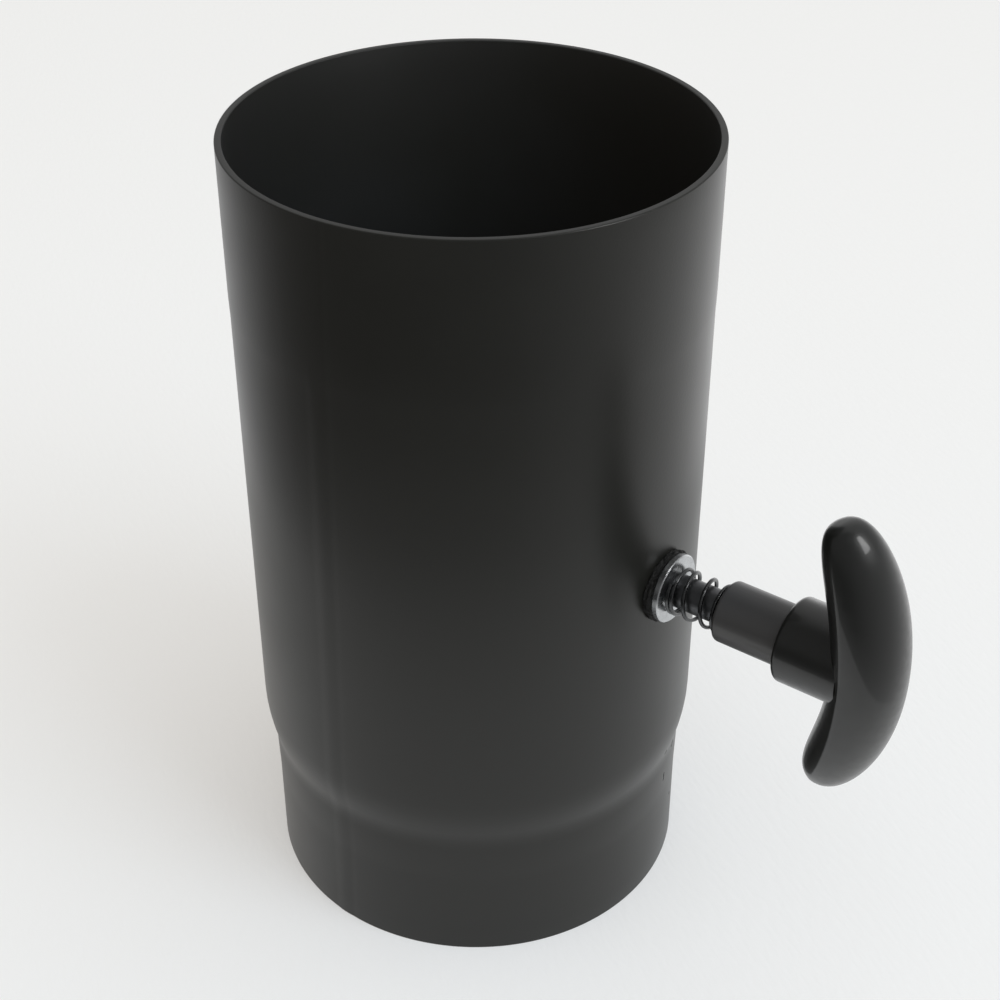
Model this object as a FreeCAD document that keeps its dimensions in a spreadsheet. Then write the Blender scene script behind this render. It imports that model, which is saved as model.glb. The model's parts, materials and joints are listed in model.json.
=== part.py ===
"""Stove pipe damper: a swaged steel flue pipe with a turning plate on a sprung spindle.

Millimetres, +Z up the flue. The origin is the centre of the spigot's lower end.
The spindle runs along X at mid height, and its crescent handle is on the +X side.
"""
import FreeCAD, Part
import math
import os
import Sketcher

# Driving dimensions, one plain number each.
DIMENSIONS = {
    # flue pipe
    "pipe_outer_diameter": 139,
    "pipe_wall": 2,
    "pipe_length": 250,
    "spigot_clearance": 0.9,
    "spigot_length": 44,
    "shoulder_length": 19.5,
    "shoulder_hollow_radius": 26,
    "step_height": 28.5,
    "step_length": 14.5,
    "step_rise": 0.3,
    "step_hollow_radius": 110,
    "socket_depth": 45,
    "socket_growth": 0.15,
    "socket_taper_length": 6,
    "rim_round": 0.4,
    # spindle and the stack that holds it in the wall
    "spindle_height": 126,
    "spindle_diameter": 10,
    "spindle_clearance": 0.08,
    "spindle_tail": 4,
    "spindle_edge": 1,
    "rest_turn": 3.4,
    "running_gap": 0.3,
    "seal_diameter": 22.4,
    "seal_thickness": 2,
    "washer_diameter": 21,
    "washer_clearance": 0.25,
    "washer_thickness": 2,
    "washer_edge": 0.3,
    "pin_diameter": 3,
    "pin_length": 18,
    "pin_wall": 0.6,
    "pin_slit": 0.6,
    "pin_clearance": 0.03,
    # spring
    "spring_clearance": 1.2,
    "spring_wire": 1.2,
    "spring_room": 16.5,
    "spring_closed_gap": 0.08,
    "spring_first_turns": 1.5,
    "spring_open_turns": 2.21,
    "spring_last_turns": 0.7,
    "spring_start_angle": 130,
    # damper plate and its screws
    "plate_clearance": 2.5,
    "plate_thickness": 2,
    "vent_diameter": 36,
    "vent_offset": 36,
    "notch_clearance": 2.5,
    "screw_offset": 32,
    "screw_diameter": 5,
    "screw_head_width": 8,
    "screw_head_height": 3.5,
    "screw_hole_clearance": 0.25,
    "screw_thread_clearance": 0.04,
    "screw_tip": 0.6,
    "lock_washer_diameter": 8.6,
    "lock_washer_thickness": 1.2,
    "lock_washer_gap": 0.6,
    # sleeve and handle
    "sleeve_wall": 4.15,
    "sleeve_bore_clearance": 0.1,
    "sleeve_visible_length": 21,
    "sleeve_seat_depth": 6,
    "sleeve_seat_clearance": 0.1,
    "sleeve_edge": 1.2,
    "boss_wall": 3.45,
    "boss_length": 20,
    "boss_edge": 1.6,
    "insert_wall": 1.95,
    "insert_length": 12,
    "insert_clearance": 0.02,
    "insert_groove_depth": 0.8,
    "insert_groove_width": 3,
    "thread_clearance": 0.05,
    "spindle_end_room": 2,
    "grip_station": 21.5,
    "grip_arc_radius": 110,
    "grip_half_length": 47.2,
    "grip_half_width": 13.5,
    "grip_lobe_half_width": 11.3,
    "grip_inner_share": 0.55,
    "grip_lobe_inner_share": 0.85,
    "grip_end_power": 3,
    "grip_tip_round": 2.2,
}

# Lengths worked out from the driving dimensions, as sheet formulas.
DERIVED = {
    "foot": "0",
    "pipe_radius": "pipe_outer_diameter / 2",
    "bore_radius": "pipe_radius - pipe_wall",
    "spigot_radius": "bore_radius - spigot_clearance",
    "spigot_bore_radius": "spigot_radius - pipe_wall",
    "socket_radius": "pipe_radius + socket_growth",
    "socket_bore_radius": "socket_radius - pipe_wall",
    "socket_low": "pipe_length - socket_depth",
    "socket_taper_low": "socket_low - socket_taper_length",
    "step_top": "step_height + step_length",
    "step_sum": "(step_length ^ 2 + step_rise ^ 2) / (2 * step_rise)",
    "step_round_radius": "step_sum - step_hollow_radius",
    "step_joint_height": "step_height + step_hollow_radius * step_length / step_sum",
    "step_joint_radius": "spigot_radius + step_hollow_radius * step_rise / step_sum",
    "step_joint_bore_height": "step_joint_height + pipe_wall * step_length / step_sum",
    "step_joint_bore_radius": "step_joint_radius - pipe_wall * (step_sum - step_rise) / step_sum",
    "step_hollow_bore_radius": "step_hollow_radius + pipe_wall",
    "step_round_bore_radius": "step_round_radius - pipe_wall",
    "collar_radius": "spigot_radius + step_rise",
    "collar_bore_radius": "collar_radius - pipe_wall",
    "shoulder_top": "spigot_length + shoulder_length",
    "shoulder_rise": "pipe_radius - collar_radius",
    "shoulder_sum": "(shoulder_length ^ 2 + shoulder_rise ^ 2) / (2 * shoulder_rise)",
    "shoulder_round_radius": "shoulder_sum - shoulder_hollow_radius",
    "joint_height": "spigot_length + shoulder_hollow_radius * shoulder_length / shoulder_sum",
    "joint_radius": "collar_radius + shoulder_hollow_radius * shoulder_rise / shoulder_sum",
    "joint_bore_height": "joint_height + pipe_wall * shoulder_length / shoulder_sum",
    "joint_bore_radius": "joint_radius - pipe_wall * (shoulder_sum - shoulder_rise) / shoulder_sum",
    "hollow_bore_radius": "shoulder_hollow_radius + pipe_wall",
    "round_bore_radius": "shoulder_round_radius - pipe_wall",
    "spindle_radius": "spindle_diameter / 2",
    "coil_radius": "spindle_radius + spring_clearance + spring_wire / 2",
    "spindle_hole_radius": "spindle_radius + spindle_clearance",
    "washer_radius": "washer_diameter / 2",
    "washer_bore_radius": "spindle_radius + washer_clearance",
    "seal_radius": "seal_diameter / 2",
    "seal_face": "pipe_radius + seal_thickness",
    "washer_face": "seal_face + washer_thickness",
    "sleeve_start": "washer_face + spring_room + running_gap",
    "boss_start": "sleeve_start + sleeve_visible_length",
    "sleeve_end": "boss_start + sleeve_seat_depth",
    "insert_end": "sleeve_end + insert_length",
    "spindle_end": "insert_end - spindle_end_room",
    "grip_centre": "boss_start + grip_station",
    "boss_end": "boss_start + boss_length",
    "thrust_face": "sqrt(bore_radius ^ 2 - washer_radius ^ 2) - running_gap",
    "thrust_back": "thrust_face - washer_thickness",
    "pin_radius": "pin_diameter / 2",
    "pin_station": "thrust_back - pin_radius",
    "plate_radius": "bore_radius - plate_clearance",
    "plate_half": "plate_thickness / 2",
    "notch_start": "pin_station - pin_radius - notch_clearance",
    "notch_half": "washer_radius + notch_clearance",
    "flat_end": "notch_start + running_gap",
    "flat_start": "-plate_radius - running_gap",
    "spindle_start": "-pipe_radius - spindle_tail",
    "screw_radius": "screw_diameter / 2",
    "lock_washer_top": "plate_half + lock_washer_thickness",
    "sleeve_radius": "sleeve_bore_radius + sleeve_wall",
    "sleeve_bore_radius": "spindle_radius + sleeve_bore_clearance",
    "sleeve_seat_radius": "sleeve_radius + sleeve_seat_clearance",
    "boss_radius": "sleeve_seat_radius + boss_wall",
    "insert_radius": "insert_bore_radius + insert_wall",
    "insert_waist": "insert_radius - insert_groove_depth",
    "insert_bore_radius": "spindle_radius + thread_clearance",
    "insert_groove_start": "sleeve_end + (insert_length - insert_groove_width) / 2",
    "insert_groove_end": "insert_groove_start + insert_groove_width",
    "insert_pocket_radius": "insert_radius + insert_clearance",
}

# How finely the handle and spring are drawn, and how near counts as the same place.
GRIP_ANGLES = (0, 22, 42, 58, 70, 79, 85)
SPRING_STEPS = 12
CLOSE = 0.001

AXIS_X = FreeCAD.Vector(1, 0, 0)
AXIS_Y = FreeCAD.Vector(0, 1, 0)
AXIS_Z = FreeCAD.Vector(0, 0, 1)

doc = FreeCAD.newDocument("StovePipeDamper")
sheet = doc.addObject("Spreadsheet::Sheet", "Dimensions")
rows = [(alias, str(number)) for alias, number in DIMENSIONS.items()]
rows += [(alias, "=" + formula) for alias, formula in DERIVED.items()]
for row, (alias, content) in enumerate(rows, start=1):
    sheet.set("A%d" % row, alias)
    sheet.set("B%d" % row, content)
    sheet.setAlias("B%d" % row, alias)
doc.recompute()


def size(alias):
    """The number in a named cell."""
    return float(sheet.get(alias))


def bind(item, prop, formula):
    """Tie a property to the sheet: every name in the formula is one of its cells."""
    item.setExpression(prop, formula.replace("@", "Dimensions."))


def new_body(name):
    body = doc.addObject("PartDesign::Body", name)
    body.Label = name
    return body


def new_sketch(body, name, role):
    """A sketch on one of the body's own origin planes."""
    sketch = body.newObject("Sketcher::SketchObject", name)
    for feature in body.Origin.OriginFeatures:
        if feature.Role == role:
            sketch.AttachmentSupport = (feature, [""])
    sketch.MapMode = "FlatFace"
    return sketch


def pin_point(sketch, edge, end, corner):
    """Hold one end of an edge at a corner, given as two cell names."""
    for kind, alias in zip(("DistanceX", "DistanceY"), corner):
        rule = Sketcher.Constraint(kind, -1, 1, edge, end, size(alias))
        number = sketch.addConstraint(rule)
        bind(sketch, "Constraints[%d]" % number, "@" + alias)


def arc_between(start, end, radius, side):
    """The short arc from start to end, its centre to the left (1) or right (-1) of the way."""
    chord = end - start
    middle = (start + end) / 2
    left = FreeCAD.Vector(-chord.y, chord.x, 0).normalize()
    reach = math.sqrt(radius ** 2 - chord.Length ** 2 / 4)
    centre = middle + left * (side * reach)
    first, last = (start, end) if side > 0 else (end, start)
    angles = [math.atan2(spot.y - centre.y, spot.x - centre.x) for spot in (first, last)]
    return Part.ArcOfCircle(Part.Circle(centre, AXIS_Z, radius), angles[0], angles[1])


def outline(sketch, corners, arcs=None):
    """Closed outline through corners; arcs maps an edge's number to its radius cell and side."""
    arcs = arcs or {}
    spots = [FreeCAD.Vector(size(across), size(along), 0) for across, along in corners]
    ends = []
    for number, start in enumerate(spots):
        end = spots[(number + 1) % len(spots)]
        if number in arcs:
            alias, side = arcs[number]
            sketch.addGeometry(arc_between(start, end, size(alias), side), False)
            ends.append((1, 2) if side > 0 else (2, 1))
        else:
            sketch.addGeometry(Part.LineSegment(start, end), False)
            ends.append((1, 2))
    for number in range(len(spots)):
        following = (number + 1) % len(spots)
        joined = (number, ends[number][1], following, ends[following][0])
        sketch.addConstraint(Sketcher.Constraint("Coincident", *joined))
    for number, corner in enumerate(corners):
        pin_point(sketch, number, ends[number][0], corner)
    for number, (alias, side) in arcs.items():
        rule = sketch.addConstraint(Sketcher.Constraint("Radius", number, size(alias)))
        bind(sketch, "Constraints[%d]" % rule, "@" + alias)


def circle(sketch, centre, radius):
    """A circle whose centre and radius are cells."""
    spot = FreeCAD.Vector(size(centre[0]), size(centre[1]), 0)
    edge = sketch.addGeometry(Part.Circle(spot, AXIS_Z, size(radius)), False)
    pin_point(sketch, edge, 3, centre)
    rule = sketch.addConstraint(Sketcher.Constraint("Radius", edge, size(radius)))
    bind(sketch, "Constraints[%d]" % rule, "@" + radius)


def revolve(body, name, sketch, axis):
    turn = body.newObject("PartDesign::Revolution", name)
    turn.Profile = sketch
    turn.ReferenceAxis = (sketch, [axis])
    turn.Angle = 360
    return turn


def round_edges(body, name, base, chosen, alias, kind="PartDesign::Fillet"):
    """Fillet or chamfer the edges of base that the test picks."""
    doc.recompute()
    names = ["Edge%d" % (number + 1) for number, edge in enumerate(base.Shape.Edges) if chosen(edge)]
    feature = body.newObject(kind, name)
    feature.Base = (base, names)
    bind(feature, "Radius" if kind.endswith("Fillet") else "Size", "@" + alias)
    return feature


def on_spindle(item, turned=True):
    """Lift a piece that was drawn about the X axis to the spindle, at its angle of rest."""
    turn = size("rest_turn") if turned else 0
    lift = FreeCAD.Vector(0, 0, size("spindle_height"))
    item.Placement = FreeCAD.Placement(lift, FreeCAD.Rotation(AXIS_X, turn))
    bind(item, "Placement.Base.z", "@spindle_height")
    if turned:
        bind(item, "Placement.Rotation.Angle", "@rest_turn")


def cylinder(name, radius, start, length, axis):
    """A solid cylinder along an axis; radius, start and length are sheet formulas."""
    item = doc.addObject("Part::Cylinder", name)
    turns = {"x": FreeCAD.Rotation(AXIS_Y, 90), "y": FreeCAD.Rotation(AXIS_X, -90), "z": FreeCAD.Rotation()}
    item.Placement = FreeCAD.Placement(FreeCAD.Vector(), turns[axis])
    bind(item, "Radius", radius)
    bind(item, "Height", length)
    bind(item, "Placement.Base." + axis, start)
    return item


def cut(name, base, tool):
    item = doc.addObject("Part::Cut", name)
    item.Base = base
    item.Tool = tool
    return item


def fuse(name, shapes):
    item = doc.addObject("Part::MultiFuse", name)
    item.Shapes = shapes
    return item


def compound(name, links):
    item = doc.addObject("Part::Compound", name)
    item.Links = links
    item.Label = name
    return item


def flue_pipe():
    """Rolled tube: plain socket on top, swaged shoulder, faint second step and spigot below."""
    body = new_body("flue_pipe")
    wall = new_sketch(body, "WallProfile", "XZ_Plane")
    corners = [
        ("spigot_radius", "foot"),
        ("spigot_radius", "step_height"),
        ("step_joint_radius", "step_joint_height"),
        ("collar_radius", "step_top"),
        ("collar_radius", "spigot_length"),
        ("joint_radius", "joint_height"),
        ("pipe_radius", "shoulder_top"),
        ("pipe_radius", "socket_taper_low"),
        ("socket_radius", "socket_low"),
        ("socket_radius", "pipe_length"),
        ("socket_bore_radius", "pipe_length"),
        ("socket_bore_radius", "socket_low"),
        ("bore_radius", "socket_taper_low"),
        ("bore_radius", "shoulder_top"),
        ("joint_bore_radius", "joint_bore_height"),
        ("collar_bore_radius", "spigot_length"),
        ("collar_bore_radius", "step_top"),
        ("step_joint_bore_radius", "step_joint_bore_height"),
        ("spigot_bore_radius", "step_height"),
        ("spigot_bore_radius", "foot"),
    ]
    arcs = {
        1: ("step_hollow_radius", -1),
        2: ("step_round_radius", 1),
        4: ("shoulder_hollow_radius", -1),
        5: ("shoulder_round_radius", 1),
        13: ("round_bore_radius", -1),
        14: ("hollow_bore_radius", 1),
        16: ("step_round_bore_radius", -1),
        17: ("step_hollow_bore_radius", 1),
    }
    outline(wall, corners, arcs)
    tube = revolve(body, "WallTurn", wall, "V_Axis")

    def at_rim(edge):
        level = edge.BoundBox
        flat = level.ZLength < CLOSE
        return flat and min(abs(level.ZMin), abs(level.ZMin - size("pipe_length"))) < CLOSE

    round_edges(body, "RimRound", tube, at_rim, "rim_round")
    holes = new_sketch(body, "SpindleHoles", "YZ_Plane")
    circle(holes, ("foot", "spindle_height"), "spindle_hole_radius")
    drill = body.newObject("PartDesign::Pocket", "SpindleDrill")
    drill.Profile = holes
    drill.Type = "ThroughAll"
    drill.Midplane = True
    return body


def spindle_seal():
    """Fibre seal, cut to a saddle that beds on the pipe."""
    disc = cylinder("SealDisc", "@seal_radius", "@bore_radius", "@seal_face - @bore_radius", "x")
    pipe = cylinder("SealSaddle", "@pipe_radius", "-@pipe_length / 2", "@pipe_length", "z")
    hole = cylinder("SealHole", "@spindle_hole_radius", "@bore_radius", "@seal_face", "x")
    seal = cut("SealBored", cut("SealBedded", disc, pipe), hole)
    return named("spindle_seal", seal, turned=False)


def named(label, item, turned=True):
    """Give a finished piece its node name and lift it to the spindle."""
    item.Label = label
    on_spindle(item, turned)
    return item


def ring(label, corners, edge_alias=None, turned=True):
    """A turned piece about the spindle, drawn as station against radius."""
    body = new_body(label)
    sketch = new_sketch(body, label + "_profile", "XZ_Plane")
    outline(sketch, corners)
    turn = revolve(body, label + "_turn", sketch, "H_Axis")
    if edge_alias:
        outside = max(size(radius) for station, radius in corners)
        far = min(size(station) for station, radius in corners)

        def first_outer_edge(edge):
            box = edge.BoundBox
            return box.XLength < CLOSE and abs(box.XMin - far) < CLOSE and abs(box.ZMax - outside) < CLOSE

        round_edges(body, label + "_edge", turn, first_outer_edge, edge_alias)
    on_spindle(body, turned)
    return body


def rectangle(start, end, inner, outer):
    return [(start, inner), (end, inner), (end, outer), (start, outer)]


def flat_washer(label, start, end, turned):
    """Plain washer with its outer edges broken."""
    body = new_body(label)
    sketch = new_sketch(body, label + "_profile", "XZ_Plane")
    outline(sketch, rectangle(start, end, "washer_bore_radius", "washer_radius"))
    turn = revolve(body, label + "_turn", sketch, "H_Axis")

    def outer_edge(edge):
        return edge.BoundBox.XLength < CLOSE and abs(edge.BoundBox.ZMax - size("washer_radius")) < CLOSE

    round_edges(body, label + "_edge", turn, outer_edge, "washer_edge", "PartDesign::Chamfer")
    on_spindle(body, turned)
    return body


def spindle():
    """Round bar, milled to a flat where the plate sits, drilled for its screws and pin."""
    rod = cylinder("Rod", "@spindle_radius", "@spindle_start", "@spindle_end - @spindle_start", "x")
    doc.recompute()
    ends = doc.addObject("Part::Chamfer", "RodEnds")
    ends.Base = rod
    bevel = size("spindle_edge")
    rims = [number + 1 for number, edge in enumerate(rod.Shape.Edges) if edge.BoundBox.XLength < CLOSE]
    ends.Edges = [(number, bevel, bevel) for number in rims]
    flat = doc.addObject("Part::Box", "PlateFlat")
    bind(flat, "Length", "@flat_end - @flat_start")
    bind(flat, "Width", "@spindle_diameter")
    bind(flat, "Height", "@spindle_diameter * 2")
    bind(flat, "Placement.Base.x", "@flat_start")
    bind(flat, "Placement.Base.y", "-@plate_half")
    bind(flat, "Placement.Base.z", "-@spindle_diameter")
    radius = "@pin_radius + @pin_clearance"
    pin_hole = cylinder("PinHole", radius, "-@pin_length / 2", "@pin_length", "y")
    bind(pin_hole, "Placement.Base.x", "@pin_station")
    tools = [flat, pin_hole]
    for side, name in ((1, "ScrewHoleA"), (-1, "ScrewHoleB")):
        radius = "@screw_radius + @screw_thread_clearance"
        hole = cylinder(name, radius, "-@spindle_diameter", "@spindle_diameter * 2", "y")
        bind(hole, "Placement.Base.x", "%d * @screw_offset" % side)
        tools.append(hole)
    return named("spindle", cut("SpindleMilled", ends, fuse("SpindleCuts", tools)))


def stop_pin():
    """Slit roll pin through the spindle, behind the inner washer."""
    shell = cylinder("PinShell", "@pin_radius", "-@pin_length / 2", "@pin_length", "y")
    hollow = cylinder("PinHollow", "@pin_radius - @pin_wall", "-@pin_length / 2", "@pin_length", "y")
    for item in (shell, hollow):
        bind(item, "Placement.Base.x", "@pin_station")
    slit = doc.addObject("Part::Box", "PinSlit")
    bind(slit, "Length", "@pin_diameter")
    bind(slit, "Width", "@pin_length")
    bind(slit, "Height", "@pin_slit")
    bind(slit, "Placement.Base.x", "@pin_station - @pin_diameter")
    bind(slit, "Placement.Base.y", "-@pin_length / 2")
    bind(slit, "Placement.Base.z", "-@pin_slit / 2")
    return named("stop_pin", cut("PinSlitCut", cut("PinTube", shell, hollow), slit))


def spring():
    """Compression spring of round wire: closed turns at both ends, open turns between."""
    wire = size("spring_wire")
    coil = size("coil_radius")
    start = size("washer_face") + size("running_gap") + wire / 2
    stop = size("sleeve_start") - wire / 2
    first, opened, last = [size("spring_%s_turns" % part) for part in ("first", "open", "last")]
    closed = wire + size("spring_closed_gap")
    pitch = (stop - start - (first + last) * closed) / opened
    total = first + opened + last
    count = math.ceil(total * SPRING_STEPS)
    points = []
    for step in range(count + 1):
        turn = total * step / count
        along = closed * min(turn, first) + pitch * min(max(turn - first, 0), opened)
        along += closed * max(turn - first - opened, 0)
        angle = math.radians(size("spring_start_angle")) + 2 * math.pi * turn
        points.append(FreeCAD.Vector(start + along, coil * math.cos(angle), coil * math.sin(angle)))
    path = Part.BSplineCurve()
    path.interpolate(points)
    tangent = path.tangent(path.FirstParameter)[0]
    section = Part.Wire(Part.Circle(points[0], tangent, wire / 2).toShape())
    item = doc.addObject("Part::Feature", "Spring")
    item.Shape = Part.Wire(path.toShape()).makePipeShell([section], True, False)
    return named("spring", item)


def damper_plate():
    """Flat disc with two vents, notched on the handle side to clear the inner washer and pin."""
    disc = cylinder("PlateDisc", "@plate_radius", "-@plate_half", "@plate_thickness", "y")
    notch = doc.addObject("Part::Box", "PlateNotch")
    bind(notch, "Length", "@plate_radius - @notch_start")
    bind(notch, "Width", "@plate_thickness")
    bind(notch, "Height", "@notch_half * 2")
    bind(notch, "Placement.Base.x", "@notch_start")
    bind(notch, "Placement.Base.y", "-@plate_half")
    bind(notch, "Placement.Base.z", "-@notch_half")
    tools = [notch]
    for side, letter in ((1, "A"), (-1, "B")):
        vent = cylinder("Vent" + letter, "@vent_diameter / 2", "-@plate_half", "@plate_thickness", "y")
        bind(vent, "Placement.Base.z", "%d * @vent_offset" % side)
        radius = "@screw_radius + @screw_hole_clearance"
        hole = cylinder("PlateHole" + letter, radius, "-@plate_half", "@plate_thickness", "y")
        bind(hole, "Placement.Base.x", "%d * @screw_offset" % side)
        tools += [vent, hole]
    return named("damper_plate", cut("PlateCut", disc, fuse("PlateTools", tools)))


def plate_screws():
    """Two hexagon head screws, driven through the plate into the spindle."""
    screws = []
    for side, letter in ((1, "A"), (-1, "B")):
        head = doc.addObject("Part::Prism", "ScrewHead" + letter)
        head.Polygon = 6
        head.Placement = FreeCAD.Placement(FreeCAD.Vector(), FreeCAD.Rotation(AXIS_X, -90))
        bind(head, "Circumradius", "@screw_head_width / sqrt(3)")
        bind(head, "Height", "@screw_head_height")
        bind(head, "Placement.Base.y", "@lock_washer_top")
        tip = "-@spindle_radius - @screw_tip"
        shank = cylinder("ScrewShank" + letter, "@screw_radius", tip, "@lock_washer_top - (%s)" % tip, "y")
        for item in (head, shank):
            bind(item, "Placement.Base.x", "%d * @screw_offset" % side)
        screws.append(fuse("Screw" + letter, [head, shank]))
    return named("plate_screws", compound("ScrewPair", screws))


def lock_washers():
    """Two split lock washers under the screw heads."""
    washers = []
    for side, letter in ((1, "A"), (-1, "B")):
        outside = cylinder("LockDisc" + letter, "@lock_washer_diameter / 2", "@plate_half",
                           "@lock_washer_thickness", "y")
        inside = cylinder("LockBore" + letter, "@screw_radius + @screw_hole_clearance", "@plate_half",
                          "@lock_washer_thickness", "y")
        for item in (outside, inside):
            bind(item, "Placement.Base.x", "%d * @screw_offset" % side)
        gap = doc.addObject("Part::Box", "LockGap" + letter)
        bind(gap, "Length", "@lock_washer_gap")
        bind(gap, "Width", "@lock_washer_thickness")
        bind(gap, "Height", "@lock_washer_diameter")
        bind(gap, "Placement.Base.x", "%d * @screw_offset - @lock_washer_gap / 2" % side)
        bind(gap, "Placement.Base.y", "@plate_half")
        washers.append(cut("LockWasher" + letter, cut("LockRing" + letter, outside, inside), gap))
    return named("lock_washers", compound("LockPair", washers))


def grip_section(share):
    """One section of the crescent: a half round outside and a flat arc inside, meeting in a ridge.

    share runs from -1 at one lobe's tip to 1 at the other.
    """
    power = size("grip_end_power")
    closing = (1 - abs(share) ** power) ** (1 / power)
    taper = size("grip_lobe_half_width") - size("grip_half_width")
    half = (size("grip_half_width") + taper * share ** 2) * closing
    bend = size("grip_arc_radius")
    angle = size("grip_half_length") * share / bend
    outward = FreeCAD.Vector(math.cos(angle), 0, math.sin(angle))
    middle = FreeCAD.Vector(size("grip_centre") - bend, 0, 0) + outward * bend
    ridge = AXIS_Y * half
    inner_gain = size("grip_lobe_inner_share") - size("grip_inner_share")
    inner = middle - outward * (half * (size("grip_inner_share") + inner_gain * share ** 2))
    outside = Part.Arc(middle + ridge, middle + outward * half, middle - ridge)
    inside = Part.Arc(middle - ridge, inner, middle + ridge)
    return Part.Wire([outside.toShape(), inside.toShape()])


def handle():
    """Moulded crescent handle with a round boss, bored for the sleeve and its threaded insert."""
    stations = [math.sin(math.radians(angle)) for angle in GRIP_ANGLES]
    shares = [-share for share in reversed(stations[1:])] + stations
    lofted = Part.makeLoft([grip_section(share) for share in shares], True, False, False, 3)
    tips = sorted(lofted.Faces, key=lambda face: abs(face.CenterOfMass.z))[-2:]
    rims = [edge for face in tips for edge in face.Edges]
    grip = doc.addObject("Part::Feature", "Grip")
    grip.Shape = lofted.makeFillet(size("grip_tip_round"), rims)
    boss = new_body("Boss")
    profile = new_sketch(boss, "BossProfile", "XZ_Plane")
    outline(profile, rectangle("boss_start", "boss_end", "foot", "boss_radius"))
    turned = revolve(boss, "BossTurn", profile, "H_Axis")

    def front_edge(edge):
        box = edge.BoundBox
        return box.XLength < CLOSE and abs(box.XMin - size("boss_start")) < CLOSE and box.ZLength > CLOSE

    round_edges(boss, "BossRound", turned, front_edge, "boss_edge")
    seat = cylinder("SleeveSeat", "@sleeve_seat_radius", "@boss_start", "@sleeve_seat_depth", "x")
    pocket = cylinder("InsertPocket", "@insert_pocket_radius", "@sleeve_end", "@insert_length", "x")
    groove = doc.addObject("Part::Feature", "InsertKey")
    key = Part.makeCylinder(size("insert_pocket_radius"), size("insert_groove_width"),
                            AXIS_X * size("insert_groove_start"), AXIS_X)
    core = Part.makeCylinder(size("insert_waist") + size("insert_clearance"), size("insert_groove_width"),
                             AXIS_X * size("insert_groove_start"), AXIS_X)
    groove.Shape = key.cut(core)
    bores = fuse("HandleBores", [seat, cut("KeyedPocket", pocket, groove)])
    return named("handle", cut("HandleBored", fuse("HandleSolid", [grip, boss]), bores))


def handle_insert():
    """Brass threaded insert, grooved so that the moulding holds it."""
    corners = [
        ("sleeve_end", "insert_bore_radius"),
        ("insert_end", "insert_bore_radius"),
        ("insert_end", "insert_radius"),
        ("insert_groove_end", "insert_radius"),
        ("insert_groove_end", "insert_waist"),
        ("insert_groove_start", "insert_waist"),
        ("insert_groove_start", "insert_radius"),
        ("sleeve_end", "insert_radius"),
    ]
    return ring("handle_insert", corners)


sleeve_corners = rectangle("sleeve_start", "sleeve_end", "sleeve_bore_radius", "sleeve_radius")
pieces = [
    flue_pipe(),
    spindle_seal(),
    flat_washer("outer_washer", "seal_face", "washer_face", turned=False),
    spindle(),
    damper_plate(),
    plate_screws(),
    lock_washers(),
    flat_washer("thrust_washer", "thrust_back", "thrust_face", turned=True),
    stop_pin(),
    spring(),
    ring("sleeve", sleeve_corners, "sleeve_edge"),
    handle(),
    handle_insert(),
]
doc.recompute()

for item in doc.Objects:
    if "Invalid" in item.State or "Error" in item.State:
        raise RuntimeError("%s failed: %s" % (item.Label, item.State))
for piece in pieces:
    if piece.Shape.isNull() or not piece.Shape.isValid():
        raise RuntimeError("%s has no valid shape" % piece.Label)

os.makedirs("parts", exist_ok=True)
for piece in pieces:
    piece.Shape.exportStep("parts/%s.step" % piece.Label)
    print(piece.Label, len(piece.Shape.Solids), round(piece.Shape.Volume, 1))
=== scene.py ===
"""Looks of a stove pipe damper: satin black pipe, sprung spindle and moulded crescent handle."""
import json
import math

import bmesh
import bpy
from bpy.props import FloatProperty, FloatVectorProperty, IntProperty, PointerProperty, StringProperty
from mathutils import Matrix, Vector, noise


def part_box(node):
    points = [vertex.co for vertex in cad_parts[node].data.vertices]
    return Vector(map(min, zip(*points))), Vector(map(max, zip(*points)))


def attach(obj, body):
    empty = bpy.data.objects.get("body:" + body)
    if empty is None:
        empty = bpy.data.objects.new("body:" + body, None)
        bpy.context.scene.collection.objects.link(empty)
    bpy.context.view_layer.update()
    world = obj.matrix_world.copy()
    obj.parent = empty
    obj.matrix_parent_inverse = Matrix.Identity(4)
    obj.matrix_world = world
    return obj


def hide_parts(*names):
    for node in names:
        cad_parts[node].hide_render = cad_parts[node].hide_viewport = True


bl_info = {
    "name": "Stove pipe damper",
    "version": (1, 0, 0),
    "blender": (4, 5, 0),
    "location": "View3D > Sidebar > Damper",
    "description": "Finishes and fine pieces of a stove pipe damper around its packed solids",
    "category": "Object",
}

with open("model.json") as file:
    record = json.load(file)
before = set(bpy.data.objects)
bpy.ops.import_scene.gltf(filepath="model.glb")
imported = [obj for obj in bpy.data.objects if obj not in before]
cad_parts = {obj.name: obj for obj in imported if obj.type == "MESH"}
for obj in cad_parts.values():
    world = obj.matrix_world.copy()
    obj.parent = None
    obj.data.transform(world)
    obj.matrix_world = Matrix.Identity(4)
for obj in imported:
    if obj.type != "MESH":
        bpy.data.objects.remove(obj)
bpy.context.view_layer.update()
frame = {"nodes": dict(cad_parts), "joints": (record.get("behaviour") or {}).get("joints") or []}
NODES = frame["nodes"]
MM = 0.001
FULL_TURN = 2 * math.pi
SEAL_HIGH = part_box("spindle_seal")[1]
PIPE_LOW, PIPE_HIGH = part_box("flue_pipe")
SPINDLE_PLACE = Vector(frame["joints"][0]["pos_m"])
# Where a colour mix node has its two colours, and its result.
MIX_A, MIX_B, MIXED = 6, 7, 2

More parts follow.
